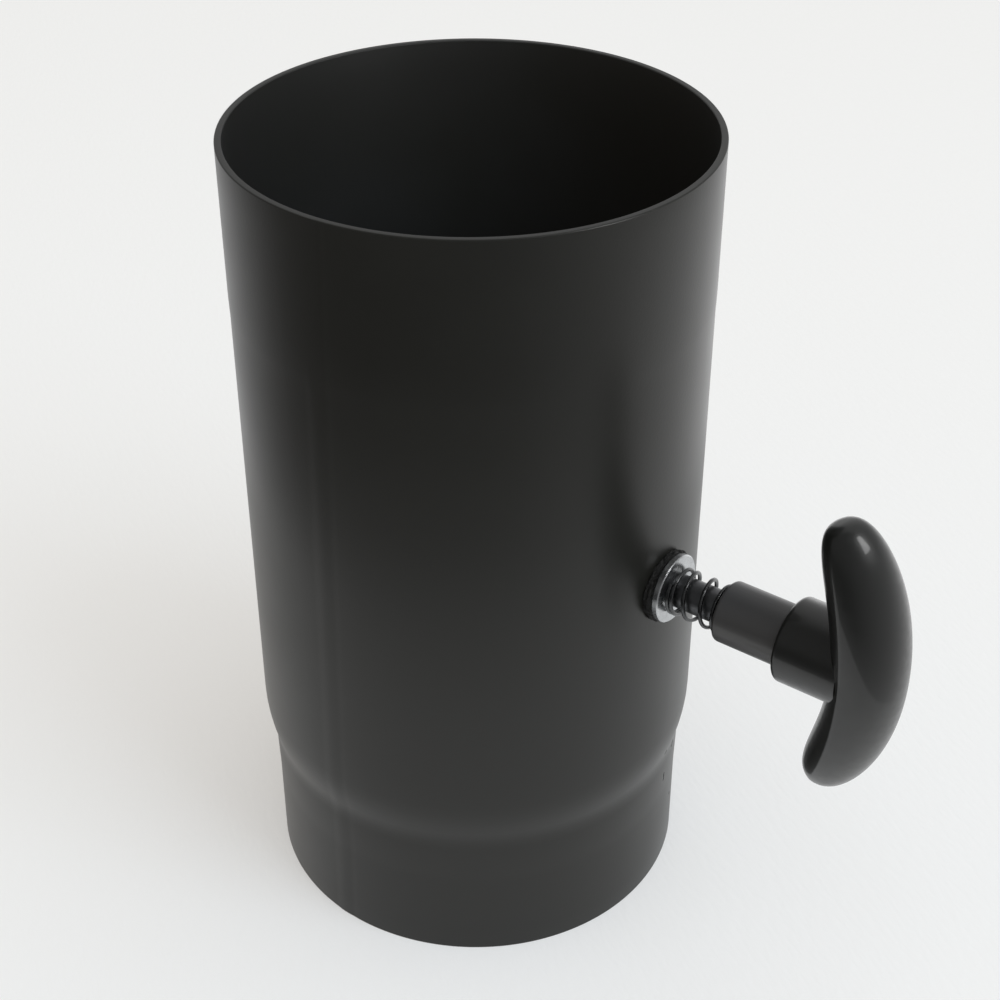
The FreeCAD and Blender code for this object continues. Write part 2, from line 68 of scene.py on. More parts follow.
# The graded card round the object, which only reflections see: a ring that closes overhead. Radius and
# height of its rows, its greys below by bearing in degrees from -Y towards +X, and its grey above.
CARD_ROWS = ((0.27, 0.001), (0.27, 0.12), (0.27, 0.2), (0.27, 0.25), (0.27, 0.46), (0.27, 0.9), (0.02, 1.1))
CARD_FROM, CARD_TO, CARD_STEP = -66, 294, 4
CARD_GREYS = ((-66, 0.6), (-50, 0.24), (-36, 0.1), (-20, 0.05), (25, 0.05), (45, 0.09), (64, 0.24), (90, 0.5),
              (115, 0.85), (150, 1.2), (175, 1.4), (205, 1.5), (222, 1.25), (240, 1.2), (294, 0.6))
CARD_ABOVE, CARD_ABOVE_SHARE, CARD_STRENGTH = 0.257, 0.7, 1.5
# The window in it, by the same bearings and heights.
WINDOW_BEARINGS = (82, 98)
WINDOW_HEIGHTS = (0.25, 0.46)
WINDOW_STRENGTH = 6.5

# Chips in the paint on the swaged end: bearing in degrees, height and radius in millimetres.
CHIPS = ((109.2, 45.9, 0.85), (108.6, 45.0, 0.75), (101.1, 49.6, 0.9), (102.5, 38.3, 0.6), (102.5, 37.2, 0.65),
         (102.4, 36.1, 0.6), (112.0, 20.1, 0.8))


def hex_colour(text):
    """A colour written as sRGB hex, as linear red, green, blue and alpha."""
    parts = [int(text[start:start + 2], 16) / 255 for start in (1, 3, 5)]
    linear = [part / 12.92 if part <= 0.04045 else ((part + 0.055) / 1.055) ** 2.4 for part in parts]
    return (*linear, 1.0)


def per_mm(width):
    """Texture scale for a pattern that repeats about every so many millimetres."""
    return 1 / (width * MM)


def new_material(name):
    """A fresh material and its shader."""
    material = bpy.data.materials.new(name)
    material.use_nodes = True
    return material, material.node_tree.nodes["Principled BSDF"]


def add_node(owner, kind, inputs=None, **settings):
    """Add a node to a material or world; an input takes a value, or a link from another node's output."""
    tree = owner.node_tree
    made = tree.nodes.new(kind)
    for name, value in settings.items():
        setattr(made, name, value)
    for socket, value in (inputs or {}).items():
        if isinstance(value, bpy.types.NodeSocket):
            tree.links.new(value, made.inputs[socket])
        else:
            made.inputs[socket].default_value = value
    return made


def feed(material, shader, **sources):
    """Link sources to the shader's sockets, named with underscores for spaces."""
    for name, source in sources.items():
        material.node_tree.links.new(source, shader.inputs[name.replace("_", " ")])


def fill(shader, **values):
    """Set constants on the shader's own sockets."""
    for name, value in values.items():
        shader.inputs[name.replace("_", " ")].default_value = value


def seen_rays(owner):
    """One where the camera or a reflection sees a surface or the world, and nought for its light."""
    path = add_node(owner, "ShaderNodeLightPath").outputs
    seen = add_node(owner, "ShaderNodeMath", {0: path["Is Camera Ray"], 1: path["Is Glossy Ray"]},
                    operation="MAXIMUM")
    seen = add_node(owner, "ShaderNodeMath", {0: seen.outputs[0], 1: path["Is Transmission Ray"]},
                    operation="MAXIMUM")
    return seen.outputs[0]


def smooth_piece(name, made, sharp=40):
    """Turn a bmesh into a smooth shaded object, with edges kept sharp above so many degrees."""
    bmesh.ops.recalc_face_normals(made, faces=made.faces)
    mesh = bpy.data.meshes.new(name)
    made.to_mesh(mesh)
    made.free()
    for face in mesh.polygons:
        face.use_smooth = True
    mesh.set_sharp_from_angle(angle=math.radians(sharp))
    piece = bpy.data.objects.new(name, mesh)
    bpy.context.scene.collection.objects.link(piece)
    return piece


def cut_out(piece, made, operation="DIFFERENCE", sharp=40):
    """Cut a bmesh out of a piece, or join it on, and keep the result as the piece's mesh."""
    tool = smooth_piece("tool", made)
    joining = piece.modifiers.new("joining", "BOOLEAN")
    joining.operation = operation
    joining.solver = "EXACT"
    joining.object = tool
    graph = bpy.context.evaluated_depsgraph_get()
    mesh = bpy.data.meshes.new_from_object(piece.evaluated_get(graph))
    piece.modifiers.clear()
    bpy.data.objects.remove(tool)
    old = piece.data
    piece.data = mesh
    bpy.data.meshes.remove(old)
    mesh.name = piece.name
    for face in mesh.polygons:
        face.use_smooth = True
    mesh.set_sharp_from_angle(angle=math.radians(sharp))


def turned(profile, around=96):
    """A solid turned about the spindle, from a row of places along it and radii, closed at both ends."""
    made = bmesh.new()
    rings = []
    for along, radius in profile:
        ring = []
        for step in range(around):
            angle = FULL_TURN * step / around
            spot = Vector((along, radius * math.cos(angle), radius * math.sin(angle)))
            spot.z += SPINDLE_PLACE.z
            ring.append(made.verts.new(spot))
        rings.append(ring)
    skin_rings(made, rings)
    made.faces.new(rings[0])
    made.faces.new(rings[-1])
    return made


def skin_rings(made, rings):
    """Join rings of as many points with strips of faces."""
    for low, high in zip(rings, rings[1:]):
        for place in range(len(low)):
            after = (place + 1) % len(low)
            made.faces.new((low[place], low[after], high[after], high[place]))


def wall_levels(side):
    """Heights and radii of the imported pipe's wall from foot to top, outside for side 1 and inside for -1."""
    found = {}
    for vertex in NODES["flue_pipe"].data.vertices:
        spot = vertex.co
        outward = Vector((spot.x, spot.y, 0))
        # The front of the pipe is enough, and is clear of the spindle holes.
        if spot.y < -30 * MM and side * vertex.normal.dot(outward.normalized()) > 0.02:
            found[round(spot.z, 6)] = outward.length
    levels = sorted(found.items())
    filled = levels[:1]
    for (low, low_radius), (high, high_radius) in zip(levels, levels[1:]):
        parts = math.ceil((high - low) / (8 * MM))
        for part in range(1, parts + 1):
            share = part / parts
            filled.append((low + (high - low) * share, low_radius + (high_radius - low_radius) * share))
    return filled


def wall_radius(height):
    """Outer radius of the pipe at a height."""
    return min(wall_levels(1), key=lambda level: abs(level[0] - height))[1]


def dress(name, material):
    """Give a CAD node its finish."""
    slots = NODES[name].data.materials
    slots.clear()
    slots.append(material)


def finished(name):
    """A finish that an earlier operator made, or an error."""
    if name not in bpy.data.materials:
        raise RuntimeError("make the finishes first: %s is missing" % name)
    return bpy.data.materials[name]


class DamperFinishes(bpy.types.PropertyGroup):
    """Colours and gloss of the real materials."""
    paint: StringProperty(name="Paint", description="Stove paint, sRGB hex", default="#1A1A18")
    paint_worn: StringProperty(name="Paint, dull", description="Thinner patches of the paint", default="#1F1F1C")
    paint_gloss: FloatProperty(name="Paint roughness", description="Mean roughness of the satin paint",
                               default=0.35, min=0, max=1)
    # The inside paint's paler tone is painted light that lifts the shade inside the pipe.
    inside_painted_lift: StringProperty(name="Paint, inside", description="Dry overspray inside the pipe", default="#262626")
    chip: StringProperty(name="Chip", description="Bare patches in the paint", default="#070707")
    # Paler paint round a chip: partly scuffed paint, partly a painted highlight on its lifted rim.
    scuff_and_rim_highlight: StringProperty(name="Scuff", description="Paler paint round a chip", default="#3A3A39")
    zinc: StringProperty(name="Zinc", description="Zinc plated washers", default="#D6D8DA")
    zinc_dull: StringProperty(name="Zinc, dull", description="Dull patches of the zinc", default="#A4A6A8")
    wire: StringProperty(name="Wire", description="Spring wire", default="#5F6061")
    bar: StringProperty(name="Bar", description="Blackened spindle bar", default="#757678")
    sleeve: StringProperty(name="Sleeve", description="Matt sleeve", default="#363637")
    phenolic: StringProperty(name="Handle", description="Glossy moulded handle", default="#131413")
    fibre: StringProperty(name="Seal", description="Graphite fibre of the seal", default="#161615")
    brass: StringProperty(name="Brass", description="Threaded insert", default="#C9A85A")


class DamperSeal(bpy.types.PropertyGroup):
    """Sizes of the ragged fibre seal."""
    bore: FloatProperty(name="Bore radius", description="Clear of the spindle", default=5.12 * MM,
                        subtype="DISTANCE", unit="LENGTH", precision=4)
    rim: FloatProperty(name="Rim radius", description="Mean radius of the torn rim", default=10.75 * MM,
                       subtype="DISTANCE", unit="LENGTH", precision=4)
    ragged: FloatProperty(name="Raggedness", description="How far the rim strays", default=0.7 * MM,
                          subtype="DISTANCE", unit="LENGTH", precision=4)
    steps: IntProperty(name="Steps", description="Points round the rim", default=240, min=24)
    layers: IntProperty(name="Layers", description="Rows of points across the rim", default=9, min=2)


class DamperPipe(bpy.types.PropertyGroup):
    """Sizes of the rolled pipe's dressed weld and spindle holes."""
    half_width: FloatProperty(name="Weld half width", description="From the weld's middle to where it fades out",
                              default=3.8 * MM, subtype="DISTANCE", unit="LENGTH", precision=4)
    rise: FloatProperty(name="Weld rise", description="Height of the weld over the pipe", default=0.12 * MM,
                        subtype="DISTANCE", unit="LENGTH", precision=5)
    undercut: FloatProperty(name="Weld undercut", description="Depth of the groove beside the weld",
                            default=0.035 * MM, subtype="DISTANCE", unit="LENGTH", precision=5)
    foot_bearing: FloatProperty(name="Weld at foot", description="Where the weld starts, from -Y towards +X",
                                default=math.radians(-3.4), subtype="ANGLE", unit="ROTATION")
    top_bearing: FloatProperty(name="Weld at top", description="Where the weld ends, from -Y towards +X",
                               default=math.radians(1.6), subtype="ANGLE", unit="ROTATION")
    hole: FloatProperty(name="Spindle hole", description="Radius of the holes for the spindle",
                        default=5.08 * MM, subtype="DISTANCE", unit="LENGTH", precision=4)
    coarse: IntProperty(name="Columns", description="Columns round the plain wall", default=240, min=48)
    fine: IntProperty(name="Weld columns", description="Columns across the weld's strip", default=60, min=16)


class DamperHandle(bpy.types.PropertyGroup):
    """Sizes of the moulded crescent handle; places along the spindle are from the pipe's axis."""
    middle: FloatProperty(name="Middle", description="Place of the crescent's middle line", default=132.8 * MM,
                          subtype="DISTANCE", unit="LENGTH", precision=4)
    bend: FloatProperty(name="Bend", description="Radius of the crescent's middle line", default=110 * MM,
                        subtype="DISTANCE", unit="LENGTH", precision=4)
    half_length: FloatProperty(name="Half length", description="From the middle to a tip", default=47.2 * MM,
                               subtype="DISTANCE", unit="LENGTH", precision=4)
    half_width: FloatProperty(name="Half width", description="At the middle", default=13.5 * MM,
                              subtype="DISTANCE", unit="LENGTH", precision=4)
    lobe_half_width: FloatProperty(name="Lobe half width", description="At the tips, before they close",
                                   default=11.3 * MM, subtype="DISTANCE", unit="LENGTH", precision=4)
    inner: FloatProperty(name="Inner share", description="Depth of the inner side over the half width, at the middle",
                         default=0.55, min=0)
    lobe_inner: FloatProperty(name="Lobe inner share", description="The same share at the tips", default=0.85, min=0)
    end_power: FloatProperty(name="End power", description="How square the tips are", default=3.2, min=2)
    boss_start: FloatProperty(name="Boss start", description="Face towards the pipe", default=111.3 * MM,
                              subtype="DISTANCE", unit="LENGTH", precision=4)
    boss_end: FloatProperty(name="Boss end", description="End inside the crescent", default=131.3 * MM,
                            subtype="DISTANCE", unit="LENGTH", precision=4)
    boss_radius: FloatProperty(name="Boss radius", description="Of the round boss", default=12.8 * MM,
                               subtype="DISTANCE", unit="LENGTH", precision=4)
    boss_edge: FloatProperty(name="Boss edge", description="Rounding of the boss's face", default=1.6 * MM,
                             subtype="DISTANCE", unit="LENGTH", precision=4)
    seat_radius: FloatProperty(name="Sleeve seat", description="Radius of the bore for the sleeve",
                               default=9.35 * MM, subtype="DISTANCE", unit="LENGTH", precision=4)
    seat_end: FloatProperty(name="Seat end", description="Bottom of the sleeve's bore", default=117.3 * MM,
                            subtype="DISTANCE", unit="LENGTH", precision=4)
    pocket_radius: FloatProperty(name="Insert pocket", description="Radius of the insert's pocket",
                                 default=7.02 * MM, subtype="DISTANCE", unit="LENGTH", precision=4)
    pocket_end: FloatProperty(name="Pocket end", description="Bottom of the insert's pocket", default=129.3 * MM,
                              subtype="DISTANCE", unit="LENGTH", precision=4)
    waist: FloatProperty(name="Key radius", description="Radius of the ring that keys the insert",
                         default=6.22 * MM, subtype="DISTANCE", unit="LENGTH", precision=4)
    key_start: FloatProperty(name="Key start", description="Start of that ring", default=121.8 * MM,
                             subtype="DISTANCE", unit="LENGTH", precision=4)
    key_end: FloatProperty(name="Key end", description="End of that ring", default=124.8 * MM,
                           subtype="DISTANCE", unit="LENGTH", precision=4)
    around: IntProperty(name="Points round", description="Points round the crescent's section", default=96, min=24)


class DamperScrews(bpy.types.PropertyGroup):
    """Sizes of the plate's hexagon screws."""
    offset: FloatProperty(name="Offset", description="Along the spindle, from the pipe's axis", default=32 * MM,
                          subtype="DISTANCE", unit="LENGTH", precision=4)
    across: FloatProperty(name="Across flats", description="Width of the head", default=8 * MM,
                          subtype="DISTANCE", unit="LENGTH", precision=4)
    head: FloatProperty(name="Head height", description="Height of the head", default=3.5 * MM,
                        subtype="DISTANCE", unit="LENGTH", precision=4)
    radius: FloatProperty(name="Thread radius", description="Outer radius of the thread", default=2.5 * MM,
                          subtype="DISTANCE", unit="LENGTH", precision=4)
    pitch: FloatProperty(name="Pitch", description="Rise of the thread in a turn", default=0.8 * MM,
                         subtype="DISTANCE", unit="LENGTH", precision=4)
    seat: FloatProperty(name="Seat", description="Face of the lock washer, from the spindle's axis",
                        default=2.2 * MM, subtype="DISTANCE", unit="LENGTH", precision=4)
    tip: FloatProperty(name="Tip", description="End of the thread, from the spindle's axis", default=5.6 * MM,
                       subtype="DISTANCE", unit="LENGTH", precision=4)
    rest_turn: FloatProperty(name="Rest turn", description="How far the plate leans at rest",
                             default=math.radians(3.4), subtype="ANGLE", unit="ROTATION")


class DamperStage(bpy.types.PropertyGroup):
    """Floor, light and camera."""
    paper: StringProperty(name="Floor", description="Pale paper under the pipe", default="#EFEFEF")
    reach: FloatProperty(name="Floor reach", description="Half the floor's width", default=4,
                         subtype="DISTANCE", unit="LENGTH")
    room: FloatProperty(name="Room light", description="Strength of the even light", default=0.6, min=0)
    room_tint: StringProperty(name="Room tint", description="Colour of the even light", default="#F0DFC6")
    lamp_tint: FloatVectorProperty(name="Lamp tint", description="Colour of the lamps", subtype="COLOR",
                                   default=(0.746, 0.873, 1.0))
    paper_glow: FloatProperty(name="Floor lift", description="Share of the floor's tone that shade does not reach",
                              default=0.4, min=0, max=1)
    top: FloatProperty(name="Top light", description="Strength of the wide top light", default=1.65, min=0)
    top_angle: FloatProperty(name="Top light's width", description="How wide the top light looks from below",
                             default=math.radians(70), subtype="ANGLE", unit="ROTATION")
    top_ahead: FloatVectorProperty(name="Top light's way", description="Where the top light shines",
                                   subtype="DIRECTION", default=(-0.38, 0.06, -0.92))
    softbox: FloatProperty(name="Softbox", description="Power of the softbox on the handle's side", default=32,
                           min=0, unit="POWER")
    softbox_size: FloatVectorProperty(name="Softbox size", description="Width and height of the softbox", size=2,
                                      subtype="XYZ", unit="LENGTH", default=(1.4, 2.1))
    softbox_away: FloatProperty(name="Softbox distance", description="From the handle to the softbox", default=3,
                                subtype="DISTANCE", unit="LENGTH")
    softbox_towards: FloatVectorProperty(name="Softbox direction", description="From the handle to the softbox",
                                         subtype="DIRECTION", default=(0.70, 0.0, 0.71))
    lens: FloatProperty(name="Lens", description="Focal length on a 36 mm frame", default=64.864,
                        subtype="DISTANCE_CAMERA")
    eye: FloatVectorProperty(name="Camera", description="Place of the camera", subtype="TRANSLATION",
                             unit="LENGTH", default=(0.28249, -0.36639, 0.44100))
    ahead: FloatVectorProperty(name="Ahead", description="Where the camera looks", subtype="DIRECTION",
                               default=(-0.4945, 0.6639, -0.5610))
    right: FloatVectorProperty(name="Right", description="The picture's right", subtype="DIRECTION",
                               default=(0.8021, 0.5972, -0.0002))


class DAMPER_OT_paint(bpy.types.Operator):
    """Spray the pipe and the plate with satin stove paint"""
    bl_idname = "damper.paint"
    bl_label = "Stove paint"

    def execute(self, context):
        looks = context.scene.damper_finishes
        # Heat resistant silicone paint, sprayed on rolled steel: near black and satin, with a fine
        # spray grain, slightly cloudy gloss, and a few chips on the edge of the swaged end.
        material, shader = new_material("stove_paint_sprayed_satin")
        place = add_node(material, "ShaderNodeTexCoord").outputs["Object"]
        cloud = add_node(material, "ShaderNodeTexNoise",
                         {"Vector": place, "Scale": per_mm(55), "Detail": 3.0}).outputs["Fac"]
        # The real grain is about 0.2 mm and too fine to show, so it is drawn at 0.8 mm.
        grain = add_node(material, "ShaderNodeTexNoise",
                         {"Vector": place, "Scale": per_mm(0.8), "Detail": 2.0}).outputs["Fac"]
        tone = add_node(material, "ShaderNodeMix", {"Factor": cloud, MIX_A: hex_colour(looks.paint),
                                                    MIX_B: hex_colour(looks.paint_worn)}, data_type="RGBA")
        satin = add_node(material, "ShaderNodeMapRange", {
            "Value": cloud, "From Min": 0.3, "From Max": 0.7,
            "To Min": looks.paint_gloss - 0.03, "To Max": looks.paint_gloss + 0.03})
        # How near each spot is to a chip, in chip radii. Noise shifts the spots, which tears the outline.
        stray = 1.6 * MM
        ragged = add_node(material, "ShaderNodeTexNoise", {
            "Vector": place, "Scale": per_mm(1.1), "Detail": 2.0}).outputs["Color"]
        torn = add_node(material, "ShaderNodeVectorMath", {
            0: ragged, 1: (stray,) * 3, 2: place}, operation="MULTIPLY_ADD").outputs[0]
        # Far from any chip to begin with.
        nearest = 9.0
        for bearing, height, radius in CHIPS:
            side = math.radians(bearing)
            wall = wall_radius(height * MM)
            spot = Vector((wall * math.sin(side), -wall * math.cos(side), height * MM))
            spot += Vector((0.5 * stray,) * 3)
            away = add_node(material, "ShaderNodeVectorMath", {0: torn, 1: spot}, operation="DISTANCE")
            shares = add_node(material, "ShaderNodeMath", {0: away.outputs["Value"], 1: radius * MM},
                              operation="DIVIDE")
            nearest = add_node(material, "ShaderNodeMath", {0: shares.outputs[0], 1: nearest},
                               operation="MINIMUM").outputs[0]
        bare = add_node(material, "ShaderNodeMapRange", {
            "Value": nearest, "From Min": 0.8, "From Max": 1.1, "To Min": 1.0, "To Max": 0.0}).outputs["Result"]
        # Round each chip the paint is paler: partly scuffed paint, partly a painted highlight on the chip's lifted
        # rim.
        pale = add_node(material, "ShaderNodeMapRange", {
            "Value": nearest, "From Min": 1.2, "From Max": 3.0, "To Min": 0.8, "To Max": 0.0}).outputs["Result"]
        for share, colour in ((pale, looks.scuff_and_rim_highlight), (bare, looks.chip)):
            tone = add_node(material, "ShaderNodeMix", {
                "Factor": share, MIX_A: tone.outputs[MIXED], MIX_B: hex_colour(colour)}, data_type="RGBA")
        relief = add_node(material, "ShaderNodeBump", {
            "Height": grain, "Strength": 0.35, "Distance": 0.05 * MM})
        relief = add_node(material, "ShaderNodeBump", {
            "Height": bare, "Strength": 0.6, "Distance": 0.15 * MM, "Normal": relief.outputs["Normal"]}, invert=True)
        dull = add_node(material, "ShaderNodeMix", {0: bare, 2: satin.outputs["Result"], 3: 0.8})
        feed(material, shader, Base_Color=tone.outputs[MIXED], Roughness=dull.outputs[0],
             Normal=relief.outputs["Normal"])
        fill(shader, IOR=1.42)
        dress("damper_plate", material)

        # The same paint inside the pipe, dull, and painted greyer than outside in blotches: painted light that lifts
        # the shade inside the pipe.
        inside, shader = new_material("stove_paint_inside_painted_lift")
        place = add_node(inside, "ShaderNodeTexCoord").outputs["Object"]
        inside_blotch = add_node(inside, "ShaderNodeTexNoise",
                        {"Vector": place, "Scale": per_mm(30), "Detail": 4.0}).outputs["Fac"]
        tone = add_node(inside, "ShaderNodeMix", {"Factor": inside_blotch, MIX_A: hex_colour(looks.paint_worn),
                                                  MIX_B: hex_colour(looks.inside_painted_lift)}, data_type="RGBA")
        feed(inside, shader, Base_Color=tone.outputs[MIXED])
        fill(shader, Roughness=0.5, IOR=1.5)
        return {"FINISHED"}


class DAMPER_OT_pipe(bpy.types.Operator):
    """Roll the pipe with a smooth wall, its dressed weld and its spindle holes"""
    bl_idname = "damper.pipe"
    bl_label = "Rolled pipe"

    def execute(self, context):
        sizes = context.scene.damper_pipe
        wall = [(height, radius, True) for height, radius in wall_levels(1)]
        wall += [(height, radius, False) for height, radius in reversed(wall_levels(-1))]
        # The columns are finer on a strip that holds the weld.
        reach = math.radians(9)
        groove, groove_half = 1.1, 0.5
        angles = [reach * (2 * step / sizes.fine - 1) for step in range(sizes.fine)]
        angles += [reach + (FULL_TURN - 2 * reach) * step / sizes.coarse for step in range(sizes.coarse)]
        made = bmesh.new()
        rings = []
        for height, radius, outside in wall:
            share = (height - PIPE_LOW.z) / (PIPE_HIGH.z - PIPE_LOW.z)
            weld = sizes.foot_bearing + (sizes.top_bearing - sizes.foot_bearing) * share
            ring = []
            for angle in angles:
                across = (angle - weld) * radius / sizes.half_width
                out = radius
                if outside and abs(across) < 1:
                    out += sizes.rise * math.cos(0.5 * math.pi * across) ** 2
                if outside and abs(across - groove) < groove_half:
                    out -= sizes.undercut * math.cos(math.pi * (across - groove)) ** 2
                # The sizing of the socket pressed the weld flat there.
                out = min(out, PIPE_HIGH.y)
                ring.append(made.verts.new((out * math.sin(angle), -out * math.cos(angle), height)))
            rings.append(ring)
        skin_rings(made, rings + rings[:1])
        piece = smooth_piece("rolled_pipe", made)
        cut_out(piece, turned([(-PIPE_HIGH.x - 5 * MM, sizes.hole), (PIPE_HIGH.x + 5 * MM, sizes.hole)]))
        piece.data.materials.clear()
        piece.data.materials.append(finished("stove_paint_sprayed_satin"))
        piece.data.materials.append(finished("stove_paint_inside_painted_lift"))
        for face in piece.data.polygons:
            inward = -Vector((face.center.x, face.center.y, 0)).normalized()
            face.material_index = int(face.normal.dot(inward) > 0.5)
        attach(piece, "flue")
        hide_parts("flue_pipe")
        return {"FINISHED"}


class DAMPER_OT_metal(bpy.types.Operator):
    """Finish the zinc washers, the blackened spindle, the spring wire and the brass insert"""
    bl_idname = "damper.metal"
    bl_label = "Metal hardware"

    def execute(self, context):
        looks = context.scene.damper_finishes
        # Bright zinc plate over stamped steel: pale, mirror-like in spots and cloudy in others.
        zinc, shader = new_material("zinc_plated_steel")
        place = add_node(zinc, "ShaderNodeTexCoord").outputs["Object"]
        cloud = add_node(zinc, "ShaderNodeTexNoise",
                         {"Vector": place, "Scale": per_mm(3), "Detail": 4.0}).outputs["Fac"]
        tone = add_node(zinc, "ShaderNodeMix", {"Factor": cloud, MIX_A: hex_colour(looks.zinc_dull),
                                                MIX_B: hex_colour(looks.zinc)}, data_type="RGBA")
        rough = add_node(zinc, "ShaderNodeMapRange", {
            "Value": cloud, "From Min": 0.3, "From Max": 0.7, "To Min": 0.34, "To Max": 0.2})
        scratch = add_node(zinc, "ShaderNodeTexNoise",
                           {"Vector": place, "Scale": per_mm(0.5), "Detail": 2.0}).outputs["Fac"]
        relief = add_node(zinc, "ShaderNodeBump", {"Height": scratch, "Strength": 0.2, "Distance": 0.04 * MM})
        feed(zinc, shader, Base_Color=tone.outputs[MIXED], Roughness=rough.outputs["Result"],
             Normal=relief.outputs["Normal"])
        fill(shader, Metallic=1.0)
        for name in ("outer_washer", "thrust_washer", "lock_washers"):
            dress(name, zinc)

        # Drawn bar and wire, blackened in a hot salt bath: dark, with a dull metal sheen.
        for name, colour, rough_low, nodes in (
            ("blackened_bar_steel", looks.bar, 0.38, ("spindle",)),
            ("blackened_spring_wire", looks.wire, 0.2, ("spring", "stop_pin")),
        ):
            steel, shader = new_material(name)
            place = add_node(steel, "ShaderNodeTexCoord").outputs["Object"]
            drawn = add_node(steel, "ShaderNodeTexNoise",
                             {"Vector": place, "Scale": per_mm(1.5), "Detail": 3.0}).outputs["Fac"]
            rough = add_node(steel, "ShaderNodeMapRange", {
                "Value": drawn, "From Min": 0.3, "From Max": 0.7,
                "To Min": rough_low, "To Max": rough_low + 0.14})
            deeper = [0.75 * part for part in hex_colour(colour)[:3]] + [1.0]
            tone = add_node(steel, "ShaderNodeMix", {"Factor": drawn, MIX_A: hex_colour(colour), MIX_B: deeper},
                            data_type="RGBA")
            feed(steel, shader, Base_Color=tone.outputs[MIXED], Roughness=rough.outputs["Result"])
            fill(shader, Metallic=1.0)
            for node in nodes:
                dress(node, steel)

        # Turned brass: yellow, with fine tool rings round the bore.
        brass, shader = new_material("turned_brass")
        place = add_node(brass, "ShaderNodeTexCoord").outputs["Object"]
        rings = add_node(brass, "ShaderNodeTexWave", {
            "Vector": place, "Scale": per_mm(0.4) / FULL_TURN, "Distortion": 0.3},
            wave_type="BANDS", bands_direction="X").outputs["Fac"]
        relief = add_node(brass, "ShaderNodeBump", {"Height": rings, "Strength": 0.2, "Distance": 0.02 * MM})
        feed(brass, shader, Normal=relief.outputs["Normal"])
        fill(shader, Metallic=1.0, Roughness=0.3, Base_Color=hex_colour(looks.brass))
        dress("handle_insert", brass)
        return {"FINISHED"}


class DAMPER_OT_seal(bpy.types.Operator):
    """Build the torn fibre seal that beds on the pipe behind the washer"""
    bl_idname = "damper.seal"
    bl_label = "Fibre seal"

    def execute(self, context):
        sizes = context.scene.damper_seal
        looks = context.scene.damper_finishes
        # The plain wall that it beds on is a little inside the socket's, and the washer lies on its face.
        wall = PIPE_HIGH.x - 0.15 * MM
        face = SEAL_HIGH.x - 0.03 * MM
        gap = 0.02 * MM
        shoulder = 0.8 * sizes.rim
        shell = bmesh.new()
        rings = []
        for step in range(sizes.steps):
            angle = FULL_TURN * step / sizes.steps
            round_way = Vector((0, math.cos(angle), math.sin(angle)))
            section = [(sizes.bore, 0.0), (shoulder, 0.0)]
            for layer in range(sizes.layers + 1):
                share = layer / sizes.layers
                # The rim swells between its faces, and strays by noise of three sizes.
                spot = round_way * 3.1 + Vector((2.4 * share, 0, 0))
                stray = noise.noise(spot) + 0.6 * noise.noise(spot * 2.7) + 0.3 * noise.noise(spot * 6.5)
                swell = 0.35 * math.sin(math.pi * share) - 0.25
                section.append((sizes.rim + sizes.ragged * (stray + swell), share))
            section += [(shoulder, 1.0), (sizes.bore, 1.0)]
            ring = []
            for radius, share in section:
                radius = min(radius, SEAL_HIGH.y - gap)
                spot = SPINDLE_PLACE + round_way * radius
                bed = math.sqrt(wall ** 2 - spot.y ** 2) + gap
                spot.x = bed + (face - bed) * share
                ring.append(shell.verts.new(spot))
            rings.append(ring)
        skin_rings(shell, rings + rings[:1])
        piece = smooth_piece("fibre_seal", shell)
        # Pressed graphite fibre, torn to size: dull black, with short fibres standing out of it.
        fibre, shader = new_material("graphite_fibre_pressed")
        place = add_node(fibre, "ShaderNodeTexCoord").outputs["Object"]
        strands = add_node(fibre, "ShaderNodeTexNoise", {
            "Vector": place, "Scale": per_mm(0.7), "Detail": 4.0, "Roughness": 0.7}).outputs["Fac"]
        tone = add_node(fibre, "ShaderNodeMix", {"Factor": strands, MIX_A: hex_colour("#0B0B0B"),
                                                 MIX_B: hex_colour(looks.fibre)}, data_type="RGBA")
        relief = add_node(fibre, "ShaderNodeBump", {"Height": strands, "Strength": 0.9, "Distance": 0.3 * MM})
        feed(fibre, shader, Base_Color=tone.outputs[MIXED], Normal=relief.outputs["Normal"])
        fill(shader, Roughness=0.8)
        piece.data.materials.append(fibre)
        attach(piece, "flue")
        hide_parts("spindle_seal")
        return {"FINISHED"}


